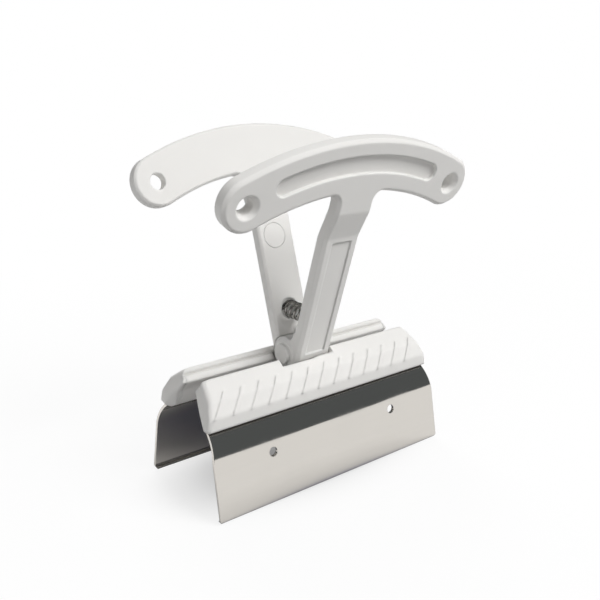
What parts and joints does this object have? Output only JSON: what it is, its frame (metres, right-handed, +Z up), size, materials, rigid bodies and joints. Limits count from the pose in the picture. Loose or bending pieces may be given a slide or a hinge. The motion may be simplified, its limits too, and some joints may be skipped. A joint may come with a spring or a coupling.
{
  "type": "keycap puller",
  "caption": "Pliers-type keycap puller: sprung crossed levers on a shared pivot, arched T handles with hanging holes, hooded jaws holding long lipped steel plates for a row of keys.",
  "frame": {"origin": "on the table, under the middle of the tool as it stands open on the lips of its two plates", "axes": "+Z up towards the handles, X along the jaws and the pivot, -Y towards the front handle"},
  "size_m": [0.0762, 0.052, 0.0917],
  "materials": {
    "white_plastic": "fine satin moulded plastic",
    "polished_steel": "bright polished stainless sheet",
    "pin_steel": "plain turned steel",
    "spring_steel": "drawn spring wire"
  },
  "bodies": {
    "rear_lever_body": {"rear_lever": "white_plastic", "front_plate": "polished_steel", "front_clamp_strip": "white_plastic", "pivot_pin": "pin_steel", "return_spring": "spring_steel"},
    "front_lever_body": {"front_lever": "white_plastic", "rear_plate": "polished_steel", "rear_clamp_strip": "white_plastic"}
  },
  "joints": [
    {"name": "lever_pivot", "type": "hinge", "parent": "rear_lever_body", "child": "front_lever_body", "pos_m": [0, 0, 0.03195], "axis": [-1, 0, 0], "range_deg": [0, 30], "stiffness_Nm_per_rad": 0.11, "springref_deg": -10.89, "deforming": ["return_spring"]}
  ]
}
